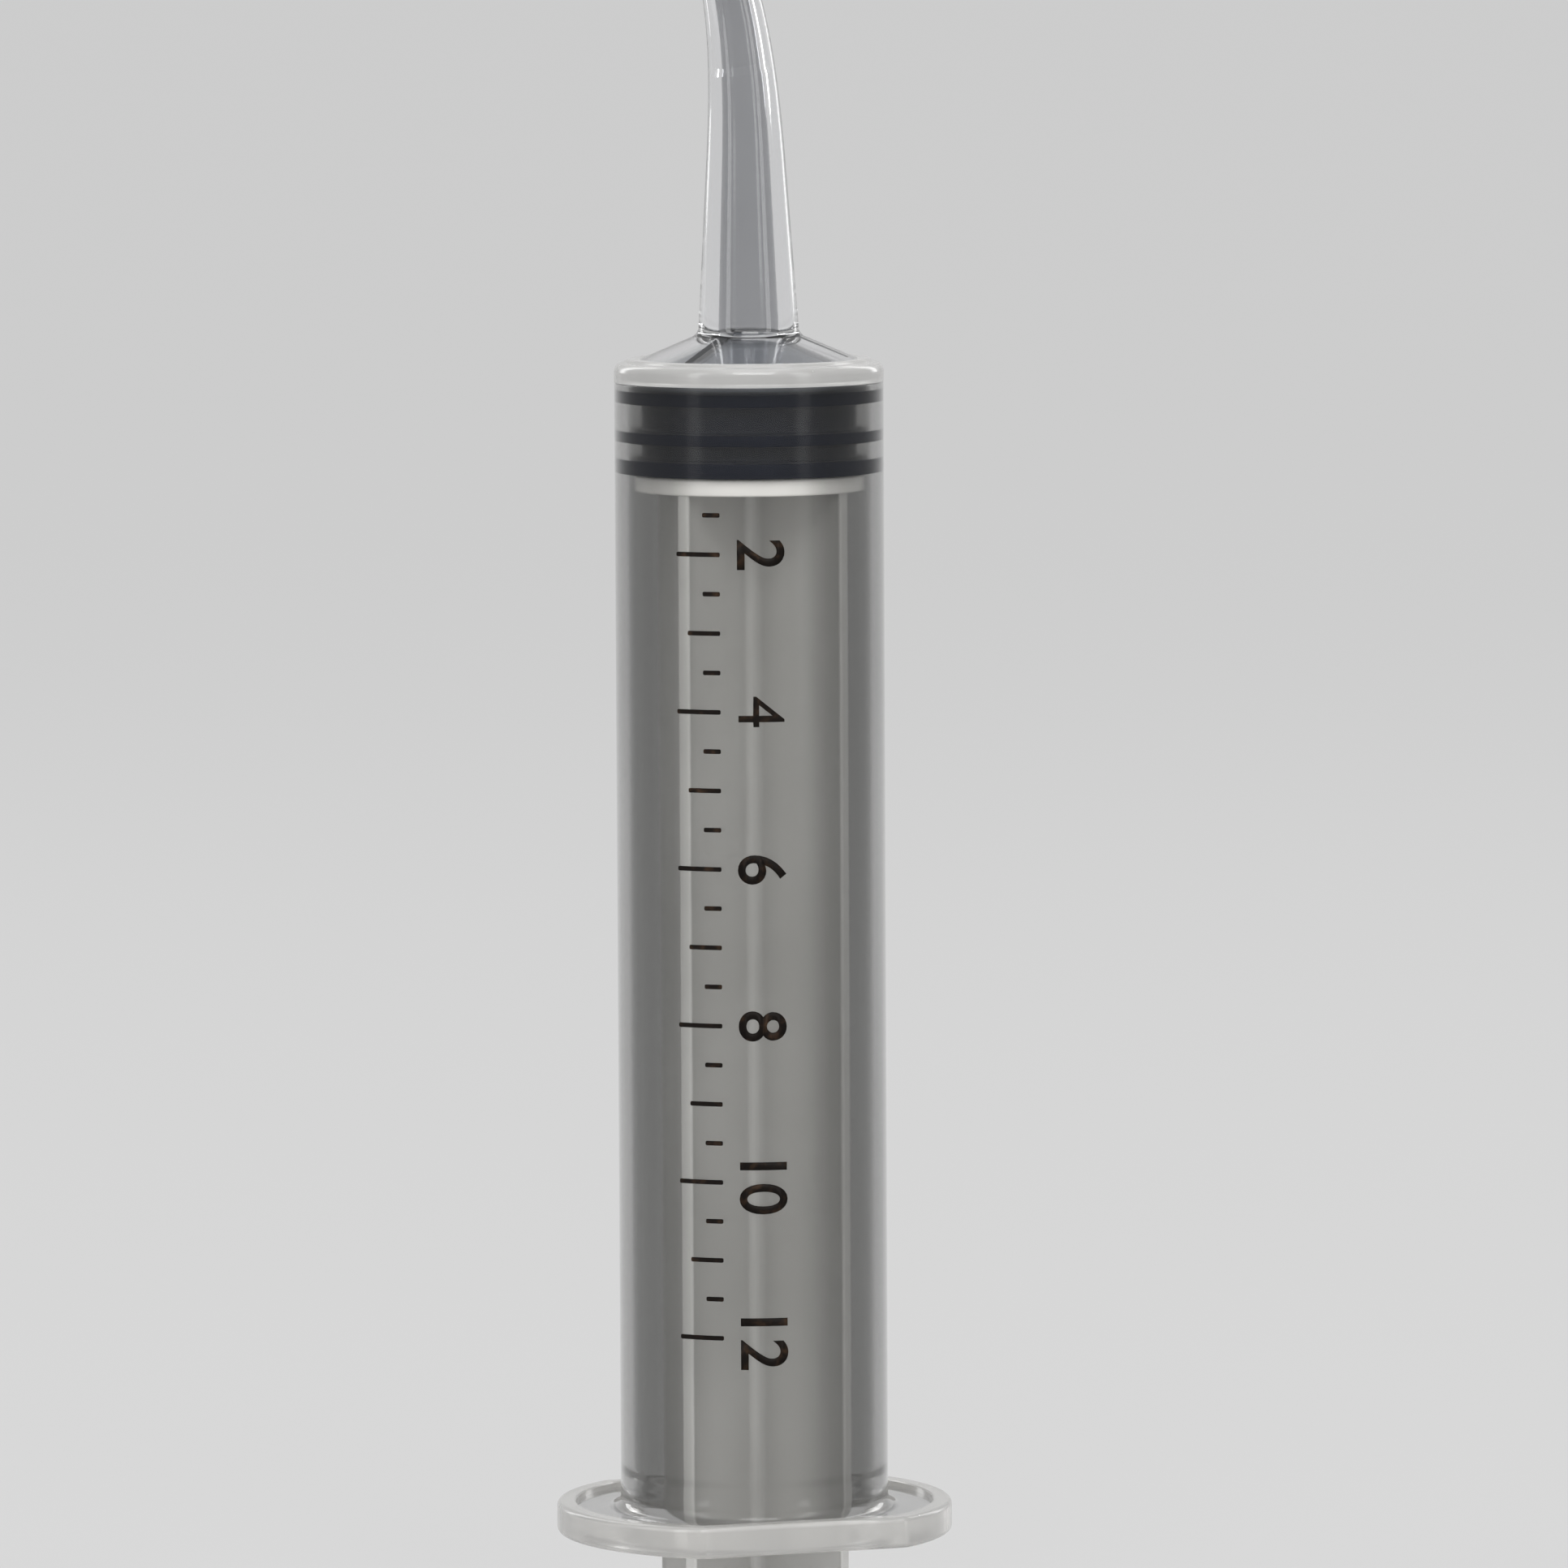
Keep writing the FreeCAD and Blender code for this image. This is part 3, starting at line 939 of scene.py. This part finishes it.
def wearPlastic(tree, shader, flow, marks, scuff, dent):
    # scratches and dust roughen the surface, and the flow's height dents it a little
    scuffed = compute(tree, (-450, -100), "MULTIPLY_ADD", marks["Mask"], scuff, flow["Roughness"])
    tree.links.new(scuffed, shader.inputs["Roughness"])
    addBump(tree, shader, flow["Height"], strength=dent, reach=0.05)


def makeBarrelPlastic(mouldFlow, handling):
    look = plasticLook
    material, tree, shader = newMaterial("hazyPolypropylene", look["barrel"])
    flow = useGroup(tree, mouldFlow, (-900, 200), look["barrelFlow"])
    # the tube's sides are painted darker where they turn away: painted shade, partly standing for the
    # longer path through plastic there
    turned = addNode(tree, "ShaderNodeLayerWeight", (-1300, 500), Blend=0.5).outputs["Facing"]
    edgeOn = remap(tree, (-1100, 500), turned, *look["edgeOn"], interpolation_type="SMOOTHSTEP")
    gloss = remap(tree, (-1100, 800), turned, *look["sheen"], interpolation_type="SMOOTHSTEP", To_Min=0.02)
    tree.links.new(gloss, shader.inputs["Coat Weight"])
    # the base colour carries the painted side shade
    wall = mixColors(tree, (-800, 500), edgeOn, flow["Color"], look["edgeOnColor"])
    tree.links.new(wall, shader.inputs["Base Color"])
    marks = useGroup(tree, handling, (-900, -500), {"Dust Amount": 0.06})
    wearPlastic(tree, shader, flow, marks, scuff=0.12, dent=0.05)
    # light on its way to the rod and the stopper goes straight through
    path = addNode(tree, "ShaderNodeLightPath", (0, 600)).outputs
    onItsWay = compute(tree, (200, 600), "MAXIMUM", path["Is Shadow Ray"], path["Is Diffuse Ray"])
    through = addNode(tree, "ShaderNodeBsdfTransparent", (200, 400), Color=look["lightThrough"])
    either = mixShaders(tree, (450, 300), onItsWay, shader, through)
    tree.links.new(either.outputs[0], tree.nodes["Material Output"].inputs["Surface"])
    return material


def makePlastic(name, mouldFlow, handling):
    through, coat, coatRoughness, color, cloudColor, roughness, spread = plasticLook[name]
    material, tree, shader = newMaterial(name, {
        "Transmission Weight": through, "IOR": plasticLook["index"],
        "Coat Weight": coat, "Coat Roughness": coatRoughness,
    })
    flow = useGroup(tree, mouldFlow, (-900, 200), {
        "Color": (*color, 1), "Cloud Color": (*cloudColor, 1),
        "Roughness": roughness, "Roughness Spread": spread,
    })
    tree.links.new(flow["Color"], shader.inputs["Base Color"])
    marks = useGroup(tree, handling, (-900, -300), {"Scratch Scale": 180.0, "Dust Amount": 0.05})
    wearPlastic(tree, shader, flow, marks, scuff=0.08, dent=0.1)
    return material


def paintRod(rod, materials):
    # the thumb rest and the front disc are painted paler than the stem's webs: partly the milkier look of
    # thick plastic, partly painted light on the disc where the stopper shades it, with the webs' darker
    # colour as painted shade; the stem's edges carry a painted highlight
    look = plasticLook

    # the thumb rest and the front disc: thick plastic, also painted lighter as painted light
    def isThickAndLit(face):
        height = face.calc_center_median().z
        return height < look["restTop"] * mm or height > look["frontFrom"] * mm

    # painted highlight: pale lines along the stem's outer edges
    def isRubbedHighlit(face):
        centre = face.calc_center_median()
        return not isThickAndLit(face) and hypot(centre.x, centre.y) > look["rubbedHighlitFrom"] * mm

    paintFaces(rod, materials, (isThickAndLit, isRubbedHighlit))


rubberLook = {
    "shader": {"IOR": 1.5, "Specular IOR Level": 0.08},
    "flow": {"Color": (0.003, 0.0045, 0.010, 1), "Cloud Color": (0.006, 0.008, 0.015, 1),
             "Roughness": 0.4, "Roughness Spread": 0.14, "Patch Scale": 300.0, "Grain Scale": 4200.0},
    "bloom": (0.035, 0.038, 0.042, 1),
    "paintedNoseLight": (0.2, 0.213, 0.235, 1),     # painted light: the nose is painted pale grey, left off its ribs
    "paintedLightBelow": (0.12, 0.3),       # how far below the barrel's roof the painted light starts and is full
    "paintedLightAbove": (87.25, 87.6),     # and the heights between which the nose begins
}


def makeRubber(mouldFlow, handling):
    look = rubberLook
    slope = tan(radians(barrelSizes["slope"]))
    material, tree, shader = newMaterial("blackRubber", look["shader"])
    flow = useGroup(tree, mouldFlow, (-900, 200), look["flow"])
    marks = useGroup(tree, handling, (-900, -300), {"Dust Scale": 1300.0, "Dust Amount": 0.07})
    dusty = mixColors(tree, (-350, 200), marks["Mask"], flow["Color"], look["bloom"])
    coords = objectPlace(tree, (-1500, 700))
    split = addNode(tree, "ShaderNodeSeparateXYZ", (-1320, 700), Vector=coords).outputs
    flat = addNode(tree, "ShaderNodeCombineXYZ", (-1140, 700), X=split["X"], Y=split["Y"])
    away = addNode(tree, "ShaderNodeVectorMath", (-960, 700), operation="LENGTH", Vector=flat.outputs[0])
    # how far below the barrel's roof a point is: the ribs touch it and the nose doesn't
    roof = compute(tree, (-750, 700), "MULTIPLY_ADD", away.outputs["Value"], slope, split["Z"])
    rise = barrelSizes["roofZ"] + barrelSizes["bore"] * slope
    # the nose below the roof is painted pale grey as painted light; the ribs touching the roof keep the
    # rubber's colour
    litBelowRoof = remap(tree, (-550, 700), roof, *[(rise - below) * mm for below in look["paintedLightBelow"]])
    nose = remap(tree, (-550, 950), split["Z"], *[height * mm for height in look["paintedLightAbove"]])
    noseLitMask = compute(tree, (-350, 700), "MULTIPLY", litBelowRoof, nose)
    dustyAndLit = mixColors(tree, (-150, 400), noseLitMask, dusty, look["paintedNoseLight"])
    tree.links.new(dustyAndLit, shader.inputs["Base Color"])
    tree.links.new(flow["Roughness"], shader.inputs["Roughness"])
    addBump(tree, shader, flow["Height"], strength=0.25, reach=0.03)
    return material


inkLook = {
    "color": (0.006, 0.004, 0.003, 1),
    "thinColor": (0.04, 0.022, 0.012, 1),
    "shader": {"Roughness": 0.5, "Specular IOR Level": 0.1},
}


def makeInk():
    look = inkLook
    material, tree, shader = newMaterial("scaleInk", look["shader"])
    blotches = addNoise(tree, (-700, 0), objectPlace(tree, (-900, 0)), 1500.0, 4.0)
    thin = remap(tree, (-500, 0), blotches, 0.5, 0.75)
    tree.links.new(mixColors(tree, (-250, 100), thin, look["color"], look["thinColor"]),
                   shader.inputs["Base Color"])
    addBump(tree, shader, blotches, strength=0.2, reach=0.02)
    return material


# Floor, light and camera

studio = {
    "floorColor": (0.64, 0.64, 0.64, 1),
    "floorRadius": 9.0,
    "floorGlow": 0.64,      # the floor's even brightness
    "floorEven": 0.75,      # how much of what is seen of the floor is that
    "worldSeen": 0.62,      # how bright the backdrop looks
    "worldLight": 0.8,      # how much it lights
    "stripAzimuths": (-48, 48, 138, -138, -48, 48),     # degrees from the camera's side
    "stripPower": (0.6, 0.6, 0.75, 0.75, 0.12, 0.12),   # the last two only draw a soft sheen
    "stripHeights": (0.37, 0.37, 0.37, 0.37, 0.2, 0.2),
    "stripSize": (0.14, 0.6),
    "stripDistance": 0.65,
    "stripAim": 0.07,       # height that the strips are turned to
    "frontPlace": (0.02, -0.24, 0.31),
    "frontAim": 0.085,
    "frontSize": (0.18, 0.14),
    "frontPower": 0.42,
    "topPlace": (0.05, -0.1, 0.75),
    "topAim": 0.06,
    "topSize": (0.5, 0.5),
    "topPower": 1.2,
}


def seenRays(tree, place):
    # rays from the camera, also by way of gloss and clear plastic
    path = addNode(tree, "ShaderNodeLightPath", place).outputs
    x, y = place
    first = compute(tree, (x + 200, y), "MAXIMUM", path["Is Camera Ray"], path["Is Glossy Ray"])
    return compute(tree, (x + 350, y), "MAXIMUM", first, path["Is Transmission Ray"])


def makeFloor():
    s = studio
    deselectAll()
    bpy.ops.mesh.primitive_circle_add(vertices=96, radius=s["floorRadius"], fill_type="NGON")
    floor = bpy.context.object
    floor.name = "studioFloor"
    material, tree, shader = newMaterial("paleFloor", {"Roughness": 0.85, "Specular IOR Level": 0.1})
    noise = addNoise(tree, (-500, 0), objectPlace(tree, (-700, 0)), 6.0, 3.0)
    darker = [n * 0.98 for n in s["floorColor"][:3]] + [1]
    tree.links.new(mixColors(tree, (-250, 0), noise, s["floorColor"], darker), shader.inputs["Base Color"])
    # part of what is seen of the floor is its own even light, the rest keeps the shadow
    glow = addNode(tree, "ShaderNodeEmission", (0, 250), Strength=s["floorGlow"])
    share = compute(tree, (0, 450), "MULTIPLY", seenRays(tree, (-500, 500)), s["floorEven"])
    blend = mixShaders(tree, (300, 200), share, shader, glow)
    # from below the floor isn't there, so the underside can be looked at
    side = addNode(tree, "ShaderNodeNewGeometry", (300, 500))
    gone = addNode(tree, "ShaderNodeBsdfTransparent", (300, 0))
    oneWay = mixShaders(tree, (550, 200), side.outputs["Backfacing"], blend, gone)
    tree.links.new(oneWay.outputs[0], tree.nodes["Material Output"].inputs["Surface"])
    floor.data.materials.append(material)


def makeWorld():
    s = studio
    world = bpy.data.worlds.new("studioWorld")
    bpy.context.scene.world = world
    world.use_nodes = True
    tree = world.node_tree
    background = tree.nodes["Background"]
    background.inputs["Color"].default_value = (1, 1, 1, 1)
    level = remap(tree, (-250, 0), seenRays(tree, (-900, 0)), 0, 1,
                  To_Min=s["worldLight"], To_Max=s["worldSeen"])
    tree.links.new(level, background.inputs["Strength"])


def addSoftbox(name, place, aim, size, power):
    # turned to the point of the axis at the height called aim
    deselectAll()
    direction = Vector((0, 0, aim)) - Vector(place)
    bpy.ops.object.light_add(type="AREA", location=place,
                             rotation=direction.to_track_quat("-Z", "Y").to_euler())
    lamp = bpy.context.object
    lamp.name = name
    lamp.data.shape = "RECTANGLE"
    lamp.data.size, lamp.data.size_y = size
    lamp.data.energy = power


def makeLights():
    s = studio
    for i, azimuth in enumerate(s["stripAzimuths"]):
        angle = radians(azimuth)
        place = (sin(angle) * s["stripDistance"], -cos(angle) * s["stripDistance"], s["stripHeights"][i])
        addSoftbox("strip" + str(i), place, s["stripAim"], s["stripSize"], s["stripPower"][i])
    for name in ("front", "top"):
        addSoftbox(name, s[name + "Place"], s[name + "Aim"], s[name + "Size"], s[name + "Power"])


cameraSet = {
    "place": (2.17, -700.0, 125.4),
    "target": (2.17, 0.0, 61.25),
    "roll": -0.28,          # degrees
    "lens": 246.6,
}


def makeCamera():
    c = cameraSet
    place = Vector(c["place"]) * mm
    direction = Vector(c["target"]) * mm - place
    turn = direction.to_track_quat("-Z", "Y").to_matrix() @ Euler((0, 0, radians(c["roll"]))).to_matrix()
    deselectAll()
    bpy.ops.object.camera_add(location=place, rotation=turn.to_euler())
    camera = bpy.context.object
    camera.data.sensor_width = 36
    camera.data.lens = c["lens"]
    camera.data.clip_start = 0.01
    camera.data.clip_end = 60
    bpy.context.scene.camera = camera


def dress(piece, material, body, slot, *nodes):
    piece.data.materials.clear()
    piece.data.materials.append(material)
    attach(piece, body)
    if nodes:
        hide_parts(*nodes)


mouldFlow = makeMouldFlow()
handling = makeHandling()
print("stage: materials started")

barrel = makeBarrel()
dress(barrel, makeBarrelPlastic(mouldFlow, handling), "barrel", "barrel_plastic", "barrel")
barrelFinishes = ("milkyRim", "milkyCorner", "shadedNozzleBore", "clearNozzle")
paintPlaces(barrel, [makePlastic(name, mouldFlow, handling) for name in barrelFinishes])
print("stage: barrel", len(barrel.data.polygons), "faces")

scale = makeScale()
dress(scale, makeInk(), "barrel", "barrel_plastic")
print("stage: scale", len(scale.data.polygons), "faces")

stopper = makeStopper()
dress(stopper, makeRubber(mouldFlow, handling), "stopper", "stopper_rubber", "stopper")
print("stage: stopper", len(stopper.data.polygons), "faces")

rod = makeRod()
dress(rod, makePlastic("thinShadedPolypropylene", mouldFlow, handling),
      "plunger_rod", "rod_plastic", "plunger_rod")
rodFinishes = ("thickLitPolypropylene", "rubbedHighlitPolypropylene")
paintRod(rod, [makePlastic(name, mouldFlow, handling) for name in rodFinishes])
print("stage: rod", len(rod.data.polygons), "faces")

makeFloor()
makeWorld()
makeLights()
makeCamera()
bpy.context.scene.view_settings.view_transform = "Standard"
print("stage: studio")
